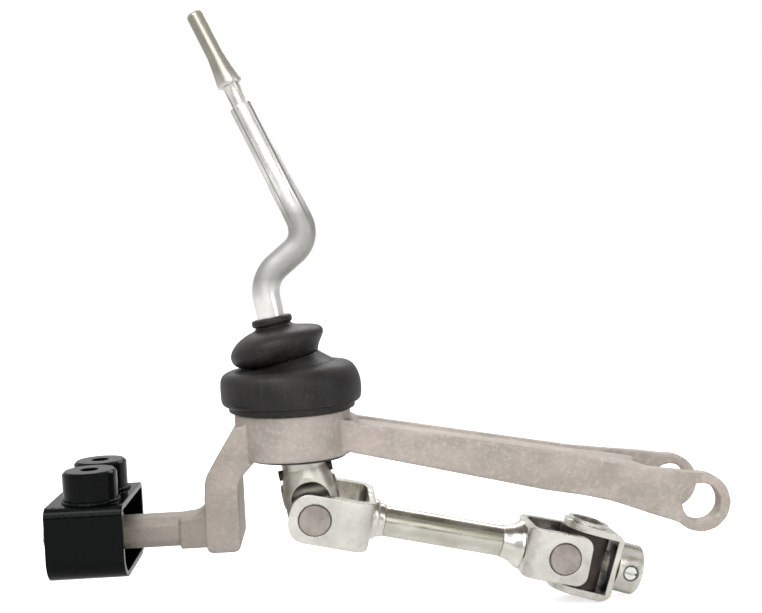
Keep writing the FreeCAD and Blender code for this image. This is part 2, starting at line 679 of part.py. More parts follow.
def coupling():
    yoke = bent_yoke(yoke_half_span, yoke_plate, coupling_half_width, coupling_half_width, coupling_base,
                     coupling_bend_r, coupling_ear_r)
    # the yoke's pin stands upright here, so it is turned a quarter about its length
    yoke = placed(yoke, V(0, 0, 0), X_AXIS, Y_AXIS)
    yoke = yoke.fuse(tube(V(0, 0, yoke_half_span), Z_AXIS, coupling_collar_r, cap_r + seat_fit,
                          coupling_collar_height))
    yoke = yoke.cut(through(V(coupling_base, 0, 0), X_AXIS, sleeve_bore_r, overlap))
    save("coupling_yoke", placed(yoke, coupling_pin, coupling_dir, coupling_up))
    start = coupling_pin + coupling_dir * coupling_base
    sleeve = tube(start, coupling_dir, sleeve_r, sleeve_bore_r, sleeve_length)
    body_length = sleeve_length - overlap
    edge = Part.makeCone(sleeve_r + overlap - sleeve_edge, sleeve_r - sleeve_edge, overlap,
                         start + coupling_dir * body_length, coupling_dir)
    sleeve = sleeve.common(edge.fuse(rod(start, coupling_dir, sleeve_r, body_length)))
    screw_centre = start + coupling_dir * (sleeve_length / 2)
    outward = rear_axis.negative()
    seat = sleeve_r - lock_screw_drop - lock_screw_length
    hole = rod(screw_centre + outward * seat, outward, lock_screw_r + seat_fit, sleeve_r)
    save("coupling_sleeve", sleeve.cut(hole))
    screw = rod(screw_centre + outward * seat, outward, lock_screw_r, lock_screw_length)
    slot_half = screw_slot_width / 2
    slot = placed(block((-overlap, overlap), (-screw_slot_depth, screw_slot_depth), (-slot_half, slot_half)),
                  screw_centre + outward * (seat + lock_screw_length), coupling_dir, coupling_up)
    save("lock_screw", screw.cut(slot))
    inner = yoke_half_span - yoke_plate + end_play
    save("coupling_caps", *end_caps(coupling_pin, coupling_up, yoke_half_span, inner,
                                    proud=(coupling_cap_proud, 0)))


# Body bracket
def bracket():
    low_x = bracket_centre_x - bracket_length / 2
    high_x = bracket_centre_x + bracket_length / 2
    bottom = bracket_top - bracket_height

    def section(inset, start, end):
        y = bracket_half_depth - inset
        low, high = bottom + inset, bracket_top - inset
        radii = [bracket_bottom_bend - inset, bracket_bottom_bend - inset, bracket_top_bend - inset,
                 bracket_top_bend - inset]
        return end_prism([(-y, low), (y, low), (y, high), (-y, high)], radii, start, end)

    shell = section(0, low_x, high_x).cut(section(bracket_wall, low_x - lap, high_x + lap))
    bosses = []
    for side in (1, -1):
        foot = V(bracket_centre_x + boss_shift, side * boss_spacing / 2, bracket_top)
        shell = shell.cut(through(foot, Z_AXIS, boss_hole_r, 2 * overlap))
        outer = turned([(0, 0), (boss_r, 0), (boss_r, boss_height - boss_edge),
                        (boss_r - boss_edge, boss_height), (0, boss_height)], foot, Z_AXIS)
        bosses.append(outer.cut(through(foot, Z_AXIS, boss_hole_r, clear)))
    save("bracket_shell", shell)
    save("bracket_bosses", *bosses)
    sleeve_outer = spigot_r + bush_sleeve_wall
    bush = section(bracket_wall + seat_fit, low_x, high_x - bush_recess - soft_gap)
    bush = bush.fuse(section(bracket_wall + bush_proud, low_x - bush_proud, low_x + lap))
    bush = bush.cut(through(V(low_x, 0, stub_z), X_AXIS, sleeve_outer + running_fit, clear))
    for side in (1, -1):
        middle, half = side * bush_slot_place, bush_slot_width / 2
        bush = bush.cut(block((low_x - overlap, high_x), (middle - half, middle + half),
                              (stub_z - bush_slot_reach, stub_z + bush_slot_reach)))
    save("rubber_bush", bush.removeSplitter())
    sleeve_x = low_x - bush_proud + bush_sleeve_set_back
    save("bush_sleeve", tube(V(sleeve_x, 0, stub_z), X_AXIS, sleeve_outer, spigot_r + seat_fit,
                             high_x - bush_recess - end_play - sleeve_x))
    washer = V(sleeve_x - end_play - washer_thickness, 0, stub_z)
    save("stub_washer", tube(washer, X_AXIS, washer_r, stub_screw_r + seat_fit, washer_thickness))
    turns = [2 * math.pi * i / screw_head_sides for i in range(screw_head_sides)]
    head = outline([washer + V(0, screw_head_r * math.cos(a), screw_head_r * math.sin(a)) for a in turns], 0)
    shank = rod(washer, X_AXIS, stub_screw_r - seat_fit, stub_screw_length)
    save("stub_screw", head.extrude(X_AXIS * -screw_head_height).fuse(shank))


# Rubber boot
def tilted_circle(x, height, tilt, radius):
    centre = V(ring_x + x, 0, ring_top_z + height)
    return Part.Wire(Part.Circle(centre, leaned(tilt), radius).toShape())


def lofted(rings):
    return Part.makeLoft([tilted_circle(*ring) for ring in rings], True, True)


def bellows(rings, wall):
    outer = lofted(rings)
    inner = lofted([(x, h, tilt, r - wall) for x, h, tilt, r in rings])
    return outer.cut(inner)


def boot():
    low = V(ring_x, 0, ring_top_z)
    crown_r = boot_ring_r - boot_crown_width
    under = boot_ring_high - boot_wall
    base = turned([(boot_lip_r - boot_lip_width, end_play), (boot_lip_r, end_play),
                   (boot_lip_r, boot_ring_low - boot_lip_edge), (boot_ring_r, boot_ring_low + boot_foot_rise),
                   (boot_ring_r, boot_ring_high - boot_crown_drop),
                   (boot_ring_r - boot_edge_width, boot_ring_high - boot_edge_drop),
                   (crown_r, boot_ring_high), (boot_mouth_r, boot_ring_high), (boot_mouth_r, under),
                   (crown_r, under), (crown_r, boot_ring_low)], low, Z_AXIS)
    save("boot_base", base)
    valley = (valley_shift, valley_height, valley_tilt, valley_r)
    save("boot_lower_fold", bellows([(0, under, 0, boot_mouth_r - soft_gap), valley], boot_wall))
    foot = (valley_shift, valley_height + fold_gap, valley_tilt, valley_r)
    end = (fold_end_shift, fold_end_height, lever_lean, fold_end_r)
    save("boot_upper_fold", bellows([foot] + fold_sections + [end], boot_wall))
    collar_foot = pivot + lever_up * collar_drop
    groove = tube(collar_foot, lever_up, groove_r, rod_r + seat_fit, boot_wall)
    collar = tube(collar_foot + lever_up * boot_wall, lever_up, collar_r, rod_r + seat_fit, collar_width)
    save("boot_collar", groove.fuse(collar).removeSplitter())


os.makedirs("parts", exist_ok=True)
carrier_casting()
pivot_pieces()
save("shift_lever", shift_lever())
save("lever_yoke", lever_yoke())
save("lever_cross_pin", through(pivot - lever_up * cross_pin_drop, lever_side, cross_pin_r,
                                cross_pin_length / 2))
save("lever_yoke_caps", *end_caps(lever_pin, lever_side, lever_yoke_gap / 2 + lever_yoke_ear,
                                  lever_yoke_gap / 2 + end_play, lever_cap_r))
link()
coupling()
bracket()
boot()
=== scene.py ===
import json
import math
import bmesh
import bpy
from mathutils import Matrix, Vector


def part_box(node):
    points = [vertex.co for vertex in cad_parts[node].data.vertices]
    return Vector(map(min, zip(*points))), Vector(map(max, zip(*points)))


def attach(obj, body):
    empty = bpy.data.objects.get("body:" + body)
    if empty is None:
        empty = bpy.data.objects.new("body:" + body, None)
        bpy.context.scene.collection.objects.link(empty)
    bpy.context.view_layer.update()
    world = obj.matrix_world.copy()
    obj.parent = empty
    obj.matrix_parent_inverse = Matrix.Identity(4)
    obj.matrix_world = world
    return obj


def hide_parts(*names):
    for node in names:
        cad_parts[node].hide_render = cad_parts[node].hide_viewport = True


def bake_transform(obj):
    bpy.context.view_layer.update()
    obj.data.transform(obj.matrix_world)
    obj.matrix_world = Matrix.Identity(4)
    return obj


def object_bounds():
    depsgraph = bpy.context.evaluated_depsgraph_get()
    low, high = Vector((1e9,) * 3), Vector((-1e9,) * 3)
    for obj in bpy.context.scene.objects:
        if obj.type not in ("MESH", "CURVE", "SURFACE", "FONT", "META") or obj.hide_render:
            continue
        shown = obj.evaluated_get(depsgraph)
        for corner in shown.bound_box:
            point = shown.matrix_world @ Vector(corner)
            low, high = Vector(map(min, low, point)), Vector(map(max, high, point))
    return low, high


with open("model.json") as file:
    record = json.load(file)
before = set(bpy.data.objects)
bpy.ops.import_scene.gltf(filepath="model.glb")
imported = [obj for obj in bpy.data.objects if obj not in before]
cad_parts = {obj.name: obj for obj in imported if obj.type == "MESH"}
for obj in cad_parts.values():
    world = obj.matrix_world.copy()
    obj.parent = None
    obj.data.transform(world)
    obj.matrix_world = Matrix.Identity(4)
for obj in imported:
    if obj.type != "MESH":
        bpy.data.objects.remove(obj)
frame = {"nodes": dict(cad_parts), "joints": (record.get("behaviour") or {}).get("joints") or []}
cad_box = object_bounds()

# Camera
# The mechanism is seen from its near side and a little above, with the gear lever up and the
# two gearbox ears at the right. The camera is rolled slightly, as in the picture.
scene = bpy.context.scene
focal_length, picture_width = 1150, 762      # in pixels of the picture
focal_share = focal_length / picture_width
camera_place = (-0.20615, -0.67654, 0.15293)
yaw, pitch, roll = math.radians(2.54), math.radians(2.86), math.radians(2.7)
looking = Vector((math.sin(yaw) * math.cos(pitch), math.cos(yaw) * math.cos(pitch), -math.sin(pitch)))
level = Vector((math.cos(yaw), -math.sin(yaw), 0))
upright = level.cross(looking)
camera_right = math.cos(roll) * level - math.sin(roll) * upright
camera_up = math.sin(roll) * level + math.cos(roll) * upright
camera_data = bpy.data.cameras.new("camera")
camera_data.sensor_fit = "HORIZONTAL"
camera_data.lens = camera_data.sensor_width * focal_share
camera = bpy.data.objects.new("camera", camera_data)
scene.collection.objects.link(camera)
turn = Matrix((camera_right, camera_up, -looking)).transposed().to_4x4()
camera.matrix_world = Matrix.Translation(camera_place) @ turn
scene.camera = camera

# Floor, backdrop and lamps
# A plain white studio: a wide floor just under the lowest piece, an even white surround, one
# large soft lamp above and to the left, and weaker ones in front, at the right and behind.
scene.view_settings.view_transform = "Standard"
object_middle = (Vector(cad_box[0]) + Vector(cad_box[1])) / 2
floor_gap, floor_size = 0.001, 8
floor_z = cad_box[0][2] - floor_gap
floor_grey, floor_glow = 0.80, 0.66
brightest_way = (-0.25, 0.35, 0.90)
dim_side, bright_side = -0.45, 0.75          # reach along brightest_way, from dark to bright
room_dark, room_bright = 0.30, 0.85


def soft_lamp(name, place, size, power):
    lamp_data = bpy.data.lights.new(name, "AREA")
    lamp_data.shape = "RECTANGLE"
    lamp_data.size, lamp_data.size_y = size
    lamp_data.energy = power
    lamp = bpy.data.objects.new(name, lamp_data)
    scene.collection.objects.link(lamp)
    lamp.location = place
    lamp.rotation_euler = (object_middle - Vector(place)).to_track_quat("-Z", "Y").to_euler()


soft_lamp("key_lamp", (-0.75, -0.85, 1.25), (0.9, 0.6), 10.0)
soft_lamp("front_lamp", (-0.15, -1.60, 0.75), (1.4, 0.7), 9.0)
soft_lamp("right_lamp", (0.95, -0.75, 0.45), (0.45, 0.9), 3.0)
soft_lamp("back_lamp", (-0.1, 0.95, 0.9), (1.2, 0.4), 6.0)
bpy.ops.object.select_all(action="DESELECT")
bpy.ops.mesh.primitive_plane_add(size=floor_size, location=(object_middle.x, object_middle.y, floor_z))
floor = bpy.context.object
floor.name = "studio_floor"

paper = bpy.data.materials.new("white_paper")
paper.use_nodes = True
tree = paper.node_tree
tree.nodes.clear()
path = tree.nodes.new("ShaderNodeLightPath")
matt = tree.nodes.new("ShaderNodeBsdfDiffuse")
matt.inputs["Color"].default_value = (floor_grey, floor_grey, floor_grey, 1)
glow = tree.nodes.new("ShaderNodeEmission")
seen = tree.nodes.new("ShaderNodeMath")
seen.operation = "MULTIPLY"
seen.inputs[1].default_value = floor_glow
tree.links.new(path.outputs["Is Camera Ray"], seen.inputs[0])
tree.links.new(seen.outputs[0], glow.inputs["Strength"])
both = tree.nodes.new("ShaderNodeAddShader")
tree.links.new(matt.outputs[0], both.inputs[0])
tree.links.new(glow.outputs[0], both.inputs[1])
paper_out = tree.nodes.new("ShaderNodeOutputMaterial")
tree.links.new(both.outputs[0], paper_out.inputs[0])
floor.data.materials.append(paper)

world = bpy.data.worlds.new("studio")
world.use_nodes = True
scene.world = world
tree = world.node_tree
tree.nodes.clear()
path = tree.nodes.new("ShaderNodeLightPath")
direction = tree.nodes.new("ShaderNodeTexCoord")
towards = tree.nodes.new("ShaderNodeVectorMath")
towards.operation = "DOT_PRODUCT"
towards.inputs[1].default_value = brightest_way
tree.links.new(direction.outputs["Generated"], towards.inputs[0])
room = tree.nodes.new("ShaderNodeMapRange")
room.inputs["From Min"].default_value = dim_side
room.inputs["From Max"].default_value = bright_side
room.inputs["To Min"].default_value = room_dark
room.inputs["To Max"].default_value = room_bright
tree.links.new(towards.outputs["Value"], room.inputs["Value"])
strength = tree.nodes.new("ShaderNodeMix")
strength.inputs["B"].default_value = 1.0
tree.links.new(room.outputs[0], strength.inputs["A"])
tree.links.new(path.outputs["Is Camera Ray"], strength.inputs["Factor"])
surround = tree.nodes.new("ShaderNodeBackground")
surround.inputs["Color"].default_value = (1, 1, 1, 1)
tree.links.new(strength.outputs["Result"], surround.inputs["Strength"])
world_out = tree.nodes.new("ShaderNodeOutputWorld")
tree.links.new(surround.outputs[0], world_out.inputs[0])

# Carrier casting
# One die-cast aluminium piece holds everything: the pivot ring, the forked beam to the gearbox
# ears, and the leg with the spigot that goes into the bracket. Its surface is matt and a little
# warm, with fine casting grain, faint flow marks and edges that are rounded by the mould.


class Value:
    """An output socket that takes part in sums as a number would."""

    def __init__(self, finish, socket):
        self.finish, self.socket = finish, socket

    def __add__(self, other):
        return self.finish.calculate("ADD", self, other)

    def __sub__(self, other):
        return self.finish.calculate("SUBTRACT", self, other)

    def __rsub__(self, other):
        return self.finish.calculate("SUBTRACT", other, self)

    def __mul__(self, other):
        return self.finish.calculate("MULTIPLY", self, other)

    def above(self, edge):
        return self.finish.calculate("GREATER_THAN", self, edge)

    __radd__ = __add__
    __rmul__ = __mul__


class Finish:
    """A material with one principled shader, and nodes that read Object coordinates."""

    def __init__(self, name, metallic=0.0, specular=0.5):
        self.material = bpy.data.materials.new(name)
        self.material.use_nodes = True
        self.tree = self.material.node_tree
        self.shader = self.tree.nodes["Principled BSDF"]
        self.shader.inputs["Metallic"].default_value = metallic
        self.shader.inputs["Specular IOR Level"].default_value = specular
        self.place = self.node("ShaderNodeTexCoord", {}, {}, "Object")

    def node(self, kind, settings, values, output=0):
        """Makes a node, sets its settings and then its sockets, and gives one output."""
        made = self.tree.nodes.new(kind)
        for name, setting in settings.items():
            setattr(made, name, setting)
        for name, value in values.items():
            self.feed(made.inputs[name], value)
        return Value(self, made.outputs[output])

    def feed(self, socket, value):
        if isinstance(value, Value):
            self.tree.links.new(value.socket, socket)
        else:
            socket.default_value = value

    def calculate(self, operation, first, second=0.0):
        return self.node("ShaderNodeMath", {"operation": operation}, {0: first, 1: second})

    def noise(self, scale, detail=2.0, roughness=0.5):
        return self.node("ShaderNodeTexNoise", {}, {"Vector": self.place, "Scale": scale,
                                                    "Detail": detail, "Roughness": roughness})

    def stretched_noise(self, scale, stretch, detail=2.0):
        along = self.node("ShaderNodeMapping", {}, {"Vector": self.place, "Scale": stretch})
        return self.node("ShaderNodeTexNoise", {}, {"Vector": along, "Scale": scale, "Detail": detail})

    def part(self, vector, name):
        """One of a vector's three numbers: X, Y or Z."""
        return self.node("ShaderNodeSeparateXYZ", {}, {"Vector": vector}, name)

    def distance(self, value, target):
        return self.calculate("ABSOLUTE", value - target)

    def blend(self, share, first, second):
        """Colour between the two, by share."""
        return self.node("ShaderNodeMix", {"data_type": "RGBA"}, {0: share, 6: first, 7: second}, 2)

    def spread(self, value, low, high, from_low=0.0, from_high=1.0):
        return self.node("ShaderNodeMapRange", {}, {"Value": value, "From Min": from_low,
                                                    "From Max": from_high, "To Min": low, "To Max": high})

    def from_point(self, centre, direction, operation="DOT_PRODUCT"):
        """How far a place lies from a point: along a direction, or by CROSS_PRODUCT away from an axis."""
        offset = self.node("ShaderNodeVectorMath", {"operation": "SUBTRACT"},
                           {0: self.place, 1: tuple(centre)})
        values = {0: offset, 1: tuple(direction)}
        if operation == "DOT_PRODUCT":
            return self.node("ShaderNodeVectorMath", {"operation": operation}, values, "Value")
        crossed = self.node("ShaderNodeVectorMath", {"operation": operation}, values)
        return self.node("ShaderNodeVectorMath", {"operation": "LENGTH"}, {0: crossed}, "Value")

    def edge_normal(self, radius):
        return self.node("ShaderNodeBevel", {"samples": 4}, {"Radius": radius}, "Normal")

    def bump(self, height, distance, strength, normal=None):
        values = {"Height": height, "Distance": distance, "Strength": strength}
        if normal is not None:
            values["Normal"] = normal
        return self.node("ShaderNodeBump", {}, values, "Normal")

    def set(self, **sockets):
        for name, value in sockets.items():
            self.feed(self.shader.inputs[name.replace("_", " ")], value)
        return self.material


def dress(material, *names):
    """Gives a material to nodes of the frame."""
    for name in names:
        node = frame["nodes"][name]
        if not node.material_slots:
            node.data.materials.append(material)
        for holder in node.material_slots:
            holder.material = material


casting = Finish("cast_aluminium", metallic=0.62)
grain = casting.noise(1400, 3)
cloud = casting.noise(38, 4, 0.6)
flow = casting.stretched_noise(60, (0.25, 1, 1), 3)
mottle = casting.noise(330, 4, 0.7)
dark_cast, light_cast = (0.355, 0.325, 0.285, 1), (0.50, 0.435, 0.395, 1)
flow_mark, pale_speck, dull_cast = (0.31, 0.275, 0.245, 1), (0.60, 0.54, 0.50, 1), (0.25, 0.228, 0.190, 1)
dull_end, dull_start = -0.295, -0.250        # along X, the leg and spigot are duller
warm_grey = casting.blend(casting.spread(cloud, 0, 1, 0.35, 0.65), dark_cast, light_cast)
warm_grey = casting.blend(casting.spread(flow, 0, 0.6, 0.45, 0.72), warm_grey, flow_mark)
warm_grey = casting.blend(casting.spread(mottle, 0, 0.5, 0.50, 0.68), warm_grey, pale_speck)
dullness = casting.spread(casting.part(casting.place, "X"), 0.62, 0, dull_end, dull_start)
warm_grey = casting.blend(dullness, warm_grey, dull_cast)
pitted = casting.spread(casting.noise(420, 2), 0, 1, 0.30, 0.42)
casting.set(Base_Color=warm_grey, Roughness=casting.spread(cloud, 0.50, 0.66, 0.3, 0.7),
            Normal=casting.bump(grain + pitted * 0.6, 0.0006, 0.5))
merge_reach, voxel = 0.00002, 0.0008
edge_rounds, kept_faces = 4, 0.22
casting_nodes = ("pivot_ring", "carrier_leg", "carrier_spigot", "near_arm", "far_arm", "arm_web")
bpy.ops.object.select_all(action="DESELECT")
for name in casting_nodes:
    section = frame["nodes"][name].copy()
    section.data = section.data.copy()
    section.parent = None
    for key in list(section.keys()):
        del section[key]
    scene.collection.objects.link(section)
    section.select_set(True)
    bpy.context.view_layer.objects.active = section
bpy.ops.object.join()
carrier = bpy.context.object
carrier.name = "carrier_casting"
carrier.data.name = "carrier_casting"
bpy.ops.object.mode_set(mode="EDIT")
bpy.ops.mesh.select_all(action="SELECT")
bpy.ops.mesh.remove_doubles(threshold=merge_reach)
bpy.ops.object.mode_set(mode="OBJECT")
skin = carrier.modifiers.new("skin", "REMESH")
skin.mode = "VOXEL"
skin.voxel_size = voxel
rounded = carrier.modifiers.new("rounded", "SMOOTH")
rounded.factor = 0.5
rounded.iterations = edge_rounds
fewer = carrier.modifiers.new("fewer", "DECIMATE")
fewer.ratio = kept_faces
for modifier in ("skin", "rounded", "fewer"):
    bpy.ops.object.modifier_apply(modifier=modifier)
carrier.data.materials.clear()
carrier.data.materials.append(casting.material)
bpy.ops.object.shade_smooth()
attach(carrier, "carrier")
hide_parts(*casting_nodes)

# Pivot seats
# Two moulded rings close the socket of the ball, one from above and one from below. They are
# matt black plastic, and only the lower one's edge shows, under the casting's ring.
seat = Finish("black_plastic", specular=0.4)
seat_cloud = seat.noise(120, 2)
seat_black, seat_grey, seat_edge = (0.016, 0.016, 0.017, 1), (0.03, 0.029, 0.029, 1), 0.0006
dress(seat.set(Base_Color=seat.blend(seat_cloud, seat_black, seat_grey),
               Roughness=seat.spread(seat_cloud, 0.42, 0.6),
               Normal=seat.bump(seat.noise(900), 0.0003, 0.4, seat.edge_normal(seat_edge))),
      "upper_seat", "lower_seat")

# Ball, select ring and ground pins
# Turned and ground steel inside the pivot and in the joints. Only the pins' closed bearing cups
# show, as dull grey-brown discs in the yokes, each with a dark line round its rim.
joints = {joint["name"]: joint for joint in frame["joints"]}
cup_radius, rim_start, rim_full = 0.0097, 0.0010, 0.0003     # the dark rim lies inside the cup's edge
steel_dark, steel_light, steel_spot = (0.30, 0.262, 0.235, 1), (0.43, 0.385, 0.35, 1), (0.18, 0.155, 0.14, 1)
rim_black, pin_edge = (0.02, 0.018, 0.016, 1), 0.0005


def ground_steel(name, cup_joint=None):
    """Dull ground steel; cup_joint names the joint whose cups get a dark rim."""
    ground = Finish(name, metallic=0.75)
    cloud = ground.noise(95, 3, 0.6)
    tint = ground.blend(ground.spread(cloud, 0, 1, 0.35, 0.65), steel_dark, steel_light)
    tint = ground.blend(ground.spread(ground.noise(520, 4, 0.7), 0, 0.5, 0.55, 0.7), tint, steel_spot)
    if cup_joint:
        from_axis = ground.from_point(joints[cup_joint]["pos_m"], joints[cup_joint]["axis"], "CROSS_PRODUCT")
        rim = ground.spread(from_axis, 0, 0.9, cup_radius - rim_start, cup_radius - rim_full)
        tint = ground.blend(rim, tint, rim_black)
    return ground.set(Base_Color=tint, Roughness=ground.spread(cloud, 0.36, 0.52, 0.3, 0.7),
                      Normal=ground.bump(ground.noise(1300, 3), 0.0002, 0.35, ground.edge_normal(pin_edge)))


dress(ground_steel("dull_steel"), "lever_ball", "select_ring", "pivot_pin", "front_shaft_pin",
      "rear_shaft_pin", "lever_yoke_pin", "bush_sleeve", "stub_washer", "stub_screw", "lever_yoke_caps")
dress(ground_steel("dull_steel_front", "link_swing"), "front_shaft_caps")
dress(ground_steel("dull_steel_rear", "rear_joint_swing"), "rear_shaft_caps")

# Select bushes
# Two sintered bronze bushes in the ring carry the select ring's trunnions. They sit inside the
# closed socket, out of sight.
bronze = Finish("bearing_bronze", metallic=0.9)
bronze_grain = bronze.noise(800, 3)
bronze_dark, bronze_light = (0.36, 0.23, 0.10, 1), (0.50, 0.34, 0.16, 1)
dress(bronze.set(Base_Color=bronze.blend(bronze_grain, bronze_dark, bronze_light),
                 Roughness=bronze.spread(bronze_grain, 0.35, 0.5),
                 Normal=bronze.bump(bronze_grain, 0.0002, 0.4)),
      "select_bushes")

# Joint blocks and dark pins
# The rear block, two of the pins and the coupling's cups are steel with a dark brown phosphate
# coat. It reflects little and is worn lighter in places.
phosphate = Finish("phosphated_steel", metallic=0.25, specular=0.12)
crystal = phosphate.noise(700, 4, 0.7)
worn = phosphate.spread(phosphate.noise(60, 3), 0, 0.5, 0.5, 0.75)
coat_dark, coat_light, coat_worn = (0.030, 0.022, 0.019, 1), (0.075, 0.058, 0.050, 1), (0.12, 0.10, 0.09, 1)
coat_edge = 0.0007
brown = phosphate.blend(crystal, coat_dark, coat_light)
dress(phosphate.set(Base_Color=phosphate.blend(worn, brown, coat_worn),
                    Roughness=phosphate.spread(crystal, 0.34, 0.55),
                    Normal=phosphate.bump(crystal, 0.0003, 0.4, phosphate.edge_normal(coat_edge))),
      "coupling_pin", "rear_joint_block", "lever_cross_pin")

# Lever
# A cold-bent steel bar with bright zinc plating and fine streaks along it. Two dark lines along the upper
# run are painted reflections, the middle run and both bends are rougher and painted darker as painted shade,
# and its tip is turned down for the knob.
pivot = Vector(joints["shift_swing"]["pos_m"])
zinc_dark, zinc_light, zinc_stain = (0.62, 0.60, 0.54, 1), (0.82, 0.80, 0.745, 1), (0.40, 0.39, 0.32, 1)
# The first colour is painted shade, used inside the coupling's fork and round its lock screw.
shade_black, plate_edge = (0.035, 0.034, 0.028, 1), 0.0009


def zinc_plate(name, low_roughness, high_roughness, dark=zinc_dark, light=zinc_light, painted_shade=None):
    """Zinc plating in a clear yellow-green pass; its last argument gives the share of painted shade over it.
    """
    zinc = Finish(name, metallic=1.0)
    cloud = zinc.noise(70, 3, 0.6)
    tint = zinc.blend(zinc.spread(cloud, 0, 1, 0.3, 0.7), dark, light)
    tint = zinc.blend(zinc.spread(zinc.noise(210, 5, 0.7), 0, 0.5, 0.58, 0.72), tint, zinc_stain)
    if painted_shade:
        tint = zinc.blend(painted_shade(zinc), tint, shade_black)
    waves = zinc.bump(zinc.noise(34, 2), 0.004, 0.6, zinc.edge_normal(plate_edge))
    return zinc.set(Base_Color=tint, Roughness=zinc.spread(cloud, low_roughness, high_roughness, 0.3, 0.7),
                    Normal=zinc.bump(zinc.noise(950, 3), 0.00015, 0.3, waves))


fork_centre, fork_up = Vector(joints["coupling_swing"]["pos_m"]), Vector(joints["coupling_swing"]["axis"])
fork_up *= math.copysign(1, fork_up.z)
fork_side = Vector(joints["rear_joint_swing"]["axis"])
fork_side *= math.copysign(1, -fork_side.y)
fork_way = fork_side.cross(fork_up) * -1
fork_way *= math.copysign(1, fork_way.x)
fork_reach, screw_beyond = 0.0215, 0.0076
screw_centre = fork_centre + fork_way * (fork_reach + screw_beyond)
ear_inside, floor_inside, shade_fade = 0.0164, 0.0171, 0.0006
ring_inner, ring_outer, ring_start, screw_depth = 0.0036, 0.0046, 0.0003, 0.008


def coupling_painted_shade(zinc):
    """Painted shade inside the fork, and in the ring round the lock screw."""
    height = zinc.calculate("ABSOLUTE", zinc.from_point(fork_centre, fork_up))
    reach = zinc.from_point(fork_centre, fork_way)
    inside = zinc.spread(height, 1, 0, ear_inside, ear_inside + shade_fade)
    inside = inside * zinc.spread(reach, 1, 0, floor_inside, floor_inside + shade_fade)
    from_screw = zinc.from_point(screw_centre, fork_side, "CROSS_PRODUCT")
    near_side = zinc.from_point(screw_centre, fork_side).above(screw_depth)
    ring = zinc.spread(from_screw, 0, 1, ring_inner, ring_inner + ring_start)
    ring = ring * zinc.spread(from_screw, 1, 0, ring_outer, ring_outer + shade_fade) * near_side
    return zinc.calculate("MAXIMUM", inside * 0.95, ring * 0.85)


forging_dark, forging_light = (0.50, 0.49, 0.43, 1), (0.72, 0.70, 0.63, 1)
# The front block's colours are the zinc painted darker, as painted shade.
shaded_block_dark, shaded_block_light = (0.20, 0.195, 0.165, 1), (0.32, 0.31, 0.27, 1)
screw_dark, screw_light = (0.85, 0.84, 0.80, 1), (0.92, 0.91, 0.88, 1)
yoke_plate = zinc_plate("zinc_plated_steel", 0.20, 0.32)
dress(yoke_plate, "front_shaft_yoke", "rear_shaft_yoke")
dress(zinc_plate("zinc_plated_forging", 0.36, 0.50, forging_dark, forging_light), "lever_yoke")
# The front joint block's zinc is painted much darker, as painted shade under the lever yoke's arch.
dress(zinc_plate("zinc_plated_block_painted_shade", 0.45, 0.55, shaded_block_dark, shaded_block_light), "front_joint_block")
# The coupling gets painted shade inside its fork and in the ring round its lock screw.
dress(zinc_plate("zinc_plated_coupling", 0.22, 0.36, painted_shade=coupling_painted_shade),
      "coupling_yoke", "coupling_sleeve")
dress(zinc_plate("zinc_plated_screw", 0.15, 0.25, screw_dark, screw_light), "lock_screw")

lower_lean, middle_lean, upper_lean = math.radians(9.7), math.radians(-51.1), math.radians(24.1)
bar_radius = 0.0080
bar_below_pivot, foot_length, knee_length, upper_length = 0.0265, 0.0926, 0.036, 0.0865


def leaning(angle):
    return Vector((-math.sin(angle), 0, math.cos(angle)))


knee = pivot + leaning(lower_lean) * foot_length + leaning(middle_lean) * knee_length
across_upper = Vector((math.cos(upper_lean), 0, math.sin(upper_lean)))
plated_bar = Finish("zinc_plated_bar", metallic=1.0)
bar_height = plated_bar.part(plated_bar.place, "Z")
bend_low, bend_high, bend_fade = pivot.z + 0.079, pivot.z + 0.140, 0.012
# The upper run carries two dark painted reflections along it, and the drawn streaks.
reflection_start, reflection_full = bend_high - 0.022, bend_high - 0.004
reflection_fading, reflection_end = pivot.z + 0.196, pivot.z + 0.202
grip_start, grip_full = pivot.z + 0.190, pivot.z + 0.213
reflection_core, reflection_edge = 0.00020, 0.00060
bright_zinc, painted_shade_zinc, grip_zinc = (0.92, 0.91, 0.88, 1), (0.41, 0.402, 0.385, 1), (0.36, 0.345, 0.285, 1)
painted_reflection_black, streak_grey = (0.09, 0.085, 0.07, 1), (0.40, 0.39, 0.36, 1)
shaded_rough_bend = plated_bar.spread(bar_height, 0, 1, bend_low, bend_low + bend_fade)
shaded_rough_bend = shaded_rough_bend * plated_bar.spread(bar_height, 1, 0, bend_high - bend_fade, bend_high)
grip_end = plated_bar.spread(bar_height, 0, 1, grip_start, grip_full)
bar_cloud = plated_bar.noise(85, 3, 0.6)
along_bar = plated_bar.node("ShaderNodeMapping", {"vector_type": "TEXTURE"},
                            {"Vector": plated_bar.place, "Rotation": (0, -upper_lean, 0), "Scale": (1, 1, 14)})
bar_streak = plated_bar.node("ShaderNodeTexNoise", {}, {"Vector": along_bar, "Scale": 760, "Detail": 3.0})
# The middle run and both bends are painted darker: painted shade.
bar_tint = plated_bar.blend(shaded_rough_bend, bright_zinc, painted_shade_zinc)
bar_tint = plated_bar.blend(grip_end * 0.9, bar_tint, grip_zinc)
reflection_and_streak_zone = plated_bar.spread(bar_height, 0, 0.85, reflection_start, reflection_full)
reflection_and_streak_zone = reflection_and_streak_zone * plated_bar.spread(bar_height, 1, 0, reflection_fading, reflection_end)
across_bar = plated_bar.from_point(knee, across_upper)
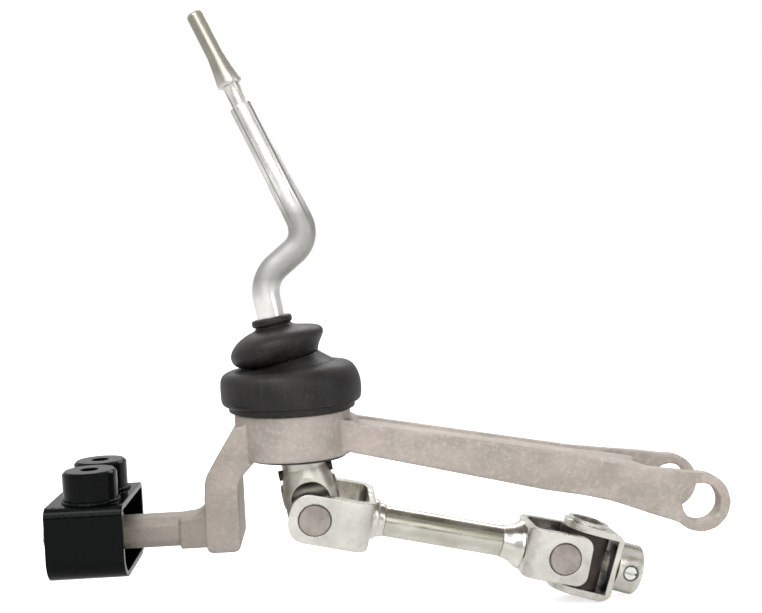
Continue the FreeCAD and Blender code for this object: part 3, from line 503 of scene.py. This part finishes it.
# Two dark lines along the upper run are painted reflections.
for reflection_place, reflection_share in ((-0.0044, 0.8), (0.0050, 1.0)):
    from_reflection = plated_bar.distance(across_bar, reflection_place)
    painted_reflection = plated_bar.spread(from_reflection, reflection_share, 0, reflection_core, reflection_edge) * reflection_and_streak_zone
    bar_tint = plated_bar.blend(painted_reflection, bar_tint, painted_reflection_black)
streaks = plated_bar.spread(bar_streak, 0, 0.7, 0.48, 0.62) * reflection_and_streak_zone
bar_tint = plated_bar.blend(streaks, bar_tint, streak_grey)
plated_bar.set(Base_Color=bar_tint, Roughness=plated_bar.spread(bar_cloud, 0.27, 0.35, 0.3, 0.7) + shaded_rough_bend * 0.22,
               Normal=plated_bar.bump(bar_streak + plated_bar.noise(900, 3) * 0.5, 0.00012, 0.3))


class Sweep:
    """A bar drawn out in edit mode from one ring: straight on, around a bend, or to a new radius."""

    def __init__(self, name, start, angle, radius, sides=64):
        self.centre, self.angle, self.radius = start, angle, radius
        bpy.ops.object.select_all(action="DESELECT")
        bpy.ops.mesh.primitive_circle_add(vertices=sides, radius=radius, location=start,
                                          rotation=(0, -angle, 0), fill_type="NGON")
        self.piece = bpy.context.object
        self.piece.name = name
        self.piece.data.name = name
        bpy.ops.object.transform_apply(location=True, rotation=True)
        bpy.ops.object.mode_set(mode="EDIT")
        bpy.ops.mesh.select_mode(type="FACE")
        bpy.ops.mesh.select_all(action="SELECT")

    def straight(self, length, radius=None, flat=1.0):
        """Goes on by length to a radius; flat squeezes the new ring across the lever's plane."""
        step = leaning(self.angle) * length
        bpy.ops.mesh.extrude_region_move(TRANSFORM_OT_translate={"value": step})
        self.centre = self.centre + step
        if radius:
            share = radius / self.radius
            bpy.ops.transform.resize(value=(share, share * flat, share), center_override=self.centre)
            self.radius = radius

    def bend(self, angle, bend_radius, steps=18):
        turn = (angle - self.angle) / steps
        side = Vector((-math.cos(self.angle), 0, -math.sin(self.angle)))
        middle = self.centre + side * math.copysign(bend_radius, turn)
        for _ in range(steps):
            bpy.ops.mesh.extrude_region_move(TRANSFORM_OT_translate={"value": (0, 0, 0)})
            bpy.ops.transform.rotate(value=turn, orient_axis="Y", center_override=middle)
        reach = self.centre - middle
        self.centre = middle + Matrix.Rotation(-(angle - self.angle), 3, "Y") @ reach
        self.angle = angle

    def finish(self):
        bpy.ops.mesh.select_all(action="SELECT")
        bpy.ops.mesh.normals_make_consistent(inside=False)
        bpy.ops.object.mode_set(mode="OBJECT")
        return self.piece


lower_bend, upper_bend = 0.020, 0.015
lower_trim = lower_bend * math.tan((lower_lean - middle_lean) / 2)
upper_trim = upper_bend * math.tan((upper_lean - middle_lean) / 2)
taper_length, shoulder_length = 0.028, 0.0012
taper = ((0.010,), (0.012, 0.0074), (0.006, 0.0071))
shoulder_and_neck = ((0.0008, 0.0068), (0.0004, 0.0061), (0.0002, 0.0049), (0.0125,))
collar_and_grip = ((0.0001, 0.0064, 0.82), (0.0008, 0.0072), (0.0018, 0.0073), (0.0070, 0.0062, 1.03),
                   (0.0095, 0.0051, 1.18), (0.0251,), (0.0010, 0.0048), (0.0009, 0.0040), (0.0005, 0.0025))
bar = Sweep("lever_bar", pivot - leaning(lower_lean) * bar_below_pivot, lower_lean, bar_radius)
bar.straight(foot_length + bar_below_pivot - lower_trim)
bar.bend(middle_lean, lower_bend)
bar.straight(knee_length - lower_trim - upper_trim)
bar.bend(upper_lean, upper_bend)
for step in taper:
    bar.straight(*step)
bar.straight(upper_length - upper_trim - taper_length - shoulder_length)
for step in shoulder_and_neck + collar_and_grip:
    bar.straight(*step)
lever_bar = bar.finish()
dent_height, dent_reach, dent_depth = 0.017, 0.0065, 0.0014
knuckle = knee + leaning(upper_lean) * dent_height - across_upper * bar_radius
for vertex in lever_bar.data.vertices:
    near = 1 - (vertex.co - knuckle).length / dent_reach
    if near > 0:
        vertex.co.x += dent_depth * near * (2 - near)
edges = lever_bar.modifiers.new("edges", "BEVEL")
edges.width = 0.0003
edges.segments = 2
edges.angle_limit = math.radians(28)
bpy.ops.object.modifier_apply(modifier="edges")
bpy.ops.object.shade_smooth_by_angle(angle=math.radians(32))
lever_bar.data.materials.append(plated_bar.material)
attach(lever_bar, "lever")
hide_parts("shift_lever")

# Link shaft
# The round bar between the two joints, zinc plated with a slight yellow-green cast, drawn lines
# along it and darker patches. One dark band high on its side is a painted reflection.
link_start = Vector(joints["link_swing"]["pos_m"])
link_end = Vector(joints["rear_joint_swing"]["pos_m"])
link_way = (link_end - link_start).normalized()
shaft = Finish("zinc_plated_shaft", metallic=1.0)
drawn = shaft.stretched_noise(320, (0.06, 1, 1), 3)
patches = shaft.noise(45, 3, 0.6)
shaft_dark, shaft_light = (0.52, 0.505, 0.43, 1), (0.68, 0.665, 0.60, 1)
shaft_reflection_tint, drawn_tint, shaft_edge = (0.27, 0.26, 0.20, 1), (0.42, 0.40, 0.34, 1), 0.0006
shaft_reflection_height, shaft_reflection_core, shaft_reflection_edge = 0.0040, 0.0010, 0.0026
shaft_tint = shaft.blend(shaft.spread(patches, 0, 1, 0.35, 0.65), shaft_dark, shaft_light)
# One dark band high on the shaft's side is a painted reflection.
above_shaft = shaft.from_point(link_start, Vector((-link_way.z, 0, link_way.x)))
shaft_reflection = shaft.spread(shaft.distance(above_shaft, shaft_reflection_height), 0.9, 0, shaft_reflection_core, shaft_reflection_edge)
shaft_tint = shaft.blend(shaft_reflection, shaft_tint, shaft_reflection_tint)
dress(shaft.set(Base_Color=shaft.blend(shaft.spread(drawn, 0, 0.4, 0.5, 0.8), shaft_tint, drawn_tint),
                Roughness=shaft.spread(patches, 0.20, 0.34, 0.3, 0.7),
                Normal=shaft.bump(drawn, 0.00015, 0.35, shaft.edge_normal(shaft_edge))),
      "link_shaft")

# Link necks
# Each end of the shaft is welded into its yoke. The front weld is a stepped collar, and the rear
# one a smooth neck that widens like a trumpet. Both are ground and plated over with the rest.
shaft_radius, axis_radius = 0.00922, 0.00001     # axis_radius closes a turned end on its axis


def lathe(name, profile, centre, axis, material, body, sides=96):
    """A closed ring turned from (height, radius) points and stood on its axis."""
    bpy.ops.object.select_all(action="DESELECT")
    bpy.ops.mesh.primitive_circle_add(vertices=sides, radius=profile[0][1], location=(0, 0, 0))
    ring = bpy.context.object
    ring.name = name
    ring.data.name = name
    bpy.ops.object.mode_set(mode="EDIT")
    bpy.ops.mesh.select_mode(type="EDGE")
    bpy.ops.mesh.select_all(action="SELECT")
    for (low, inner), (high, outer) in zip(profile, profile[1:]):
        bpy.ops.mesh.extrude_region_move(TRANSFORM_OT_translate={"value": (0, 0, high - low)})
        bpy.ops.transform.resize(value=(outer / inner, outer / inner, 1), center_override=(0, 0, 0))
    bpy.ops.mesh.select_all(action="SELECT")
    bpy.ops.mesh.remove_doubles(threshold=merge_reach)
    bpy.ops.mesh.select_all(action="DESELECT")
    bpy.ops.mesh.select_non_manifold()
    if profile[0][1] > axis_radius:
        bpy.ops.mesh.bridge_edge_loops()
    bpy.ops.mesh.select_all(action="SELECT")
    bpy.ops.mesh.normals_make_consistent(inside=False)
    bpy.ops.object.mode_set(mode="OBJECT")
    bpy.ops.object.shade_smooth_by_angle(angle=math.radians(40))
    turned = Vector(axis).to_track_quat("Z", "Y").to_matrix().to_4x4()
    ring.data.transform(Matrix.Translation(centre) @ turned)
    ring.data.materials.append(material)
    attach(ring, body)
    return ring


front_base, rear_base = 0.0345, 0.0235
collar_profile = ((0, shaft_radius), (0, 0.0121), (0.0022, 0.0120), (0.0032, 0.0114), (0.0036, 0.0104),
                  (0.0060, 0.0100), (0.0072, 0.0097), (0.0078, shaft_radius))
neck_profile = ((0, shaft_radius), (0, 0.0145), (0.0010, 0.0144), (0.0022, 0.0136), (0.0038, 0.0124),
                (0.0060, 0.0111), (0.0086, 0.0102), (0.0112, 0.0097), (0.0126, shaft_radius))
lathe("front_link_collar", collar_profile,
      link_start + link_way * front_base, link_way, yoke_plate, "link")
lathe("rear_link_neck", neck_profile,
      link_end - link_way * rear_base, -link_way, yoke_plate, "link")

# Coupling cups
# The coupling's upright pin is closed by two cups with a dark phosphate coat. The upper one stands
# out of its ear, and its rim stands round a sunken face.
cup_foot = ((0.0166, axis_radius), (0.0166, 0.0094), (0.0169, 0.0097))
rim_and_face = ((0.0274, 0.0097), (0.0278, 0.0094), (0.0278, 0.0085), (0.0274, 0.0081), (0.0262, 0.0079),
                (0.0262, 0.0055), (0.0265, 0.0050), (0.0265, axis_radius))
flush_face = ((0.0211, 0.0097), (0.0216, 0.0092), (0.0216, axis_radius))
upper_cup = lathe("coupling_cup_upper", cup_foot + rim_and_face,
                  fork_centre, fork_up, phosphate.material, "coupling")
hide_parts("coupling_caps")
lathe("coupling_cup_lower", cup_foot + flush_face,
      fork_centre, -fork_up, phosphate.material, "coupling")

# Body bracket
# A short piece of pressed square tube with two bored bosses welded on top, dipped in gloss black
# paint. The paint has a faint orange peel, small specks and rounded edges.
paint = Finish("black_gloss_paint", specular=0.10)
peel = paint.noise(240, 2)
speck = paint.spread(paint.noise(900, 2), 0, 1, 0.66, 0.72)
paint_black, paint_speck, paint_edge = (0.0008, 0.0014, 0.0013, 1), (0.010, 0.010, 0.009, 1), 0.0010
dress(paint.set(Base_Color=paint.blend(speck * 0.5, paint_black, paint_speck),
                Roughness=paint.spread(peel, 0.10, 0.18, 0.3, 0.7),
                Normal=paint.bump(peel, 0.0006, 0.25, paint.edge_normal(paint_edge))),
      "bracket_shell", "bracket_bosses")

# Boss welds
# A hand-laid bead joins the foot of each boss to the bracket. It is painted over, and its ripples
# still show.
boss_low, boss_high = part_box("bracket_bosses")
boss_radius, boss_place = 0.0154, 0.016
bead_radius, bead_lift, bead_gap = 0.0012, 0.0003, 0.0002
ripples, ripple_depth, lump_depth = 34, 0.10, 0.22
for side, label in ((-1, "near"), (1, "far")):
    foot = Vector(((boss_low.x + boss_high.x) / 2, side * boss_place, boss_low.z + bead_lift))
    bpy.ops.object.select_all(action="DESELECT")
    bpy.ops.mesh.primitive_torus_add(major_radius=boss_radius + bead_gap, minor_radius=bead_radius,
                                     major_segments=144, minor_segments=14, location=(0, 0, 0))
    bead = bpy.context.object
    bead.name = f"{label}_boss_weld"
    bead.data.name = bead.name
    for vertex in bead.data.vertices:
        angle = math.atan2(vertex.co.y, vertex.co.x)
        ripple = ripple_depth * math.sin(ripples * angle + side)
        swell = 1 + ripple + lump_depth * math.sin(2 * angle + 2 * side)
        rim = Vector((math.cos(angle), math.sin(angle), 0)) * boss_radius
        vertex.co = rim + (vertex.co - rim) * swell
    bead.data.transform(Matrix.Translation(foot))
    bpy.ops.object.shade_smooth()
    bead.data.materials.append(paint.material)
    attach(bead, "bracket")

# Bracket rubber
# The spigot sits in a rubber block that is bonded into the tube. The rubber stands out of the
# outer end as a soft bulge, and two slots beside the sleeve make it give way. Known fault: the
# finished block has only two triangles, so the tube looks empty.
rubber = Finish("black_rubber", specular=0.34)
dust = rubber.noise(55, 4, 0.65)
skin = rubber.noise(1100, 3)
faces_up = rubber.part(rubber.node("ShaderNodeNewGeometry", {}, {}, "Normal"), "Z")
clean_rubber, dusty_lit_rubber = (0.006, 0.0058, 0.0052, 1), (0.042, 0.036, 0.031, 1)
seam_black, crumb_grey = (0.004, 0.0035, 0.0035, 1), (0.085, 0.075, 0.070, 1)
seam_core, seam_edge, seam_start = 0.0001, 0.0006, 0.01
# Dust from noise, plus painted light: faces that look up are painted lighter, so undersides stay darker as
# painted shade.
dust_and_top_light = rubber.spread(dust, 0, 1, 0.45, 0.75) * 0.5 + rubber.spread(faces_up, 0, 0.10, 0.1, 0.9)
black = rubber.blend(dust_and_top_light, clean_rubber, dusty_lit_rubber)
seam_turn = math.radians(18)
seam_normal = (math.sin(seam_turn), math.cos(seam_turn), 0)
ring_x = -0.2313                 # the boot's axis, where its seam lies
beside = rubber.from_point((ring_x, 0, 0), seam_normal)
outwards = rubber.from_point((ring_x, 0, 0), (1, 0, 0))
seam = rubber.spread(rubber.distance(beside, 0), 1, 0, seam_core, seam_edge) * outwards.above(seam_start)
black = rubber.blend(seam * 0.6, black, seam_black)
crumbs = rubber.spread(rubber.noise(640, 4, 0.7), 0, 0.5, 0.60, 0.70)
black = rubber.blend(crumbs, black, crumb_grey)
rubber.set(Base_Color=black, Roughness=rubber.spread(dust, 0.40, 0.56, 0.3, 0.7),
           Normal=rubber.bump(seam, 0.0006, 0.8, rubber.bump(skin + rubber.noise(180, 3) * 0.8, 0.0004, 0.35)))
bush_low, bush_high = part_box("rubber_bush")
bush_size = bush_high - bush_low
bush_proud, corner_radius = 0.0012, 0.0075
crown = ((0.003, 0.0), (0.002, 0.0006), (0.003, 0.0004), (0.004, 0.0002))     # inset and rise of each step
cut_length, slot_place, slot_middle_z, slot_width, slot_reach = 0.2, 0.022, -0.005, 0.0078, 0.022
slot_corner, sleeve_fit = 0.0025, 0.00005
bpy.ops.object.select_all(action="DESELECT")
bpy.ops.mesh.primitive_cube_add(size=1, location=((bush_low.x + bush_proud + bush_high.x) / 2, 0,
                                                  (bush_low.z + bush_high.z) / 2))
bush = bpy.context.object
bush.name = "bracket_rubber"
bush.scale = (bush_size.x - bush_proud, bush_size.y, bush_size.z)
bpy.ops.object.transform_apply(location=True, scale=True)
bpy.ops.object.mode_set(mode="EDIT")
mesh = bmesh.from_edit_mesh(bush.data)
bpy.ops.mesh.select_mode(type="EDGE")
bpy.ops.mesh.select_all(action="DESELECT")
for edge in mesh.edges:
    along = edge.verts[0].co - edge.verts[1].co
    edge.select_set(abs(along.x) > bush_size.x / 2)
bmesh.update_edit_mesh(bush.data)
bpy.ops.mesh.bevel(offset=corner_radius, segments=6)
bpy.ops.mesh.select_mode(type="FACE")
bpy.ops.mesh.select_all(action="DESELECT")
mesh = bmesh.from_edit_mesh(bush.data)
for face in mesh.faces:
    face.select_set(abs(face.normal.x) > 0.9)
bmesh.update_edit_mesh(bush.data)
for inset, push in crown:
    bpy.ops.mesh.inset(thickness=inset, depth=push, use_individual=True)
bpy.ops.object.mode_set(mode="OBJECT")
sleeve_low, sleeve_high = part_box("bush_sleeve")
sleeve_radius = (sleeve_high.y - sleeve_low.y) / 2 + sleeve_fit
cutters = []
bpy.ops.object.select_all(action="DESELECT")
bpy.ops.mesh.primitive_cylinder_add(vertices=64, radius=sleeve_radius, depth=cut_length,
                                    rotation=(0, math.pi / 2, 0),
                                    location=(bush_low.x, 0, (sleeve_low.z + sleeve_high.z) / 2))
cutters.append(bpy.context.object)
for side in (-1, 1):
    bpy.ops.mesh.primitive_cube_add(size=1, location=(bush_low.x, side * slot_place, slot_middle_z))
    slot_cutter = bpy.context.object
    slot_cutter.scale = (cut_length, slot_width, slot_reach)
    slot_cutter.modifiers.new("round", "BEVEL").width = slot_corner
    cutters.append(slot_cutter)
for cutter in cutters:
    hole = bush.modifiers.new("hole", "BOOLEAN")
    hole.object = cutter
    hole.operation = "DIFFERENCE"
    bpy.context.view_layer.objects.active = bush
    bpy.ops.object.modifier_apply(modifier="hole")
for cutter in cutters:
    bpy.data.objects.remove(cutter)
bush.data.materials.append(rubber.material)
bush.select_set(True)
bpy.ops.object.shade_smooth_by_angle(angle=math.radians(35))
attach(bush, "bracket")
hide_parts("rubber_bush")

# Rubber boot
# A moulded rubber boot keeps dirt out of the ball: a thick ring clipped over the casting, a
# short cone, one big fold that leans with the lever, and a collar that grips the bar. It is
# built from rings, from the casting upwards, as the mould forms it.
ring_top = pivot.z + 0.0138
lean = 9.7
per_metre = 1000                 # millimetres in a metre


def moulded(name, rings, wall, body, node, sides=72, smooth=2):
    """Rubber skin through tilted rings of (x beside the ring axis, height, tilt, radius), in millimetres."""
    def centre(ring):
        return Vector((ring_x + ring[0] / per_metre, 0, ring_top + ring[1] / per_metre))
    bpy.ops.object.select_all(action="DESELECT")
    first = rings[0]
    bpy.ops.mesh.primitive_circle_add(vertices=sides, radius=first[3] / per_metre, location=centre(first),
                                      rotation=(0, -math.radians(first[2]), 0))
    skin_piece = bpy.context.object
    skin_piece.name = name
    skin_piece.data.name = name
    bpy.ops.object.transform_apply(location=True, rotation=True)
    bpy.ops.object.mode_set(mode="EDIT")
    bpy.ops.mesh.select_mode(type="EDGE")
    bpy.ops.mesh.select_all(action="SELECT")
    for before, after in zip(rings, rings[1:]):
        bpy.ops.mesh.extrude_region_move(TRANSFORM_OT_translate={"value": centre(after) - centre(before)})
        bpy.ops.transform.resize(value=(after[3] / before[3],) * 3, center_override=centre(after))
        if after[2] != before[2]:
            bpy.ops.transform.rotate(value=math.radians(after[2] - before[2]), orient_axis="Y",
                                     center_override=centre(after))
    bpy.ops.mesh.select_all(action="SELECT")
    bpy.ops.mesh.normals_make_consistent(inside=False)
    bpy.ops.object.mode_set(mode="OBJECT")
    thick = skin_piece.modifiers.new("wall", "SOLIDIFY")
    thick.thickness = wall
    thick.offset = -1
    round_off = skin_piece.modifiers.new("round", "SUBSURF")
    round_off.levels = round_off.render_levels = smooth
    bpy.ops.object.modifier_apply(modifier="wall")
    bpy.ops.object.modifier_apply(modifier="round")
    bpy.ops.object.shade_smooth()
    skin_piece.data.materials.append(rubber.material)
    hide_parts(node)
    if body:
        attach(skin_piece, body)
    return skin_piece


base_rings = ((0, 0.2, 0, 31.5), (0, 0.2, 0, 36.6), (0, 1.2, 0, 37.2), (0, 3.2, 0, 37.1), (0, 3.9, 0, 37.6),
              (0, 4.2, 0, 39.4), (0, 5.6, 0, 40.9), (0, 8.2, 0, 41.4), (0, 14.0, 0, 41.5),
              (-0.4, 18.8, 0.4, 41.0), (-0.8, 22.4, 1.2, 39.6), (-0.6, 24.8, 2.0, 37.2),
              (-0.2, 26.2, 2.8, 33.6), (0, 26.7, 3.2, 29.0), (0, 26.9, 3.6, 25.9))
cone_rings = ((0, 26.0, 3.6, 27.4), (-0.1, 26.8, 4.2, 26.2), (-1.3, 27.9, 7.5, 23.6), (-2.6, 28.9, 10.8, 21.7),
              (-3.3, 29.5, 12.6, 20.9), (-3.4, 29.9, 13, 20.6))
fold_rings = ((-3.4, 29.9, 13, 20.6), (-4.2, 30.0, 12.8, 21.6), (-5.9, 30.6, 12.4, 23.4),
              (-7.4, 32.5, 12.1, 25.4), (-7.7, 35.5, 12.0, 27.1), (-7.0, 38.9, 11.5, 28.1),
              (-6.3, 42.1, 10.8, 27.3), (-5.9, 45.0, 10.0, 24.6), (-6.3, 46.9, 8.8, 20.0),
              (-7.4, 48.0, 8.0, 15.0), (-8.4, 48.7, 9.0, 11.6), (-8.7, 49.9, 9.7, 10.5),
              (-8.9, 51.4, 9.7, 10.2))
neck_rings = ((-8.95, 50.4, lean, 8.2), (-8.95, 50.4, lean, 10.6), (-9.0, 50.7, lean, 11.6),
              (-9.2, 51.9, lean, 12.0), (-9.45, 53.4, lean, 12.0), (-9.65, 54.5, lean, 11.5),
              (-9.75, 54.9, lean, 10.4), (-9.75, 55.0, lean, 8.2))
base_wall, fold_wall, neck_wall = 0.0022, 0.0020, 0.0003
moulded("boot_ring", base_rings, base_wall, "carrier", "boot_base")
lower_fold = moulded("boot_cone", cone_rings, fold_wall, None, "boot_lower_fold")
upper_fold = moulded("boot_fold", fold_rings, fold_wall, None, "boot_upper_fold")
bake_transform(lower_fold)
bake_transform(upper_fold)
moulded("boot_neck", neck_rings, neck_wall, "lever", "boot_collar")

bpy.ops.object.select_all(action="DESELECT")
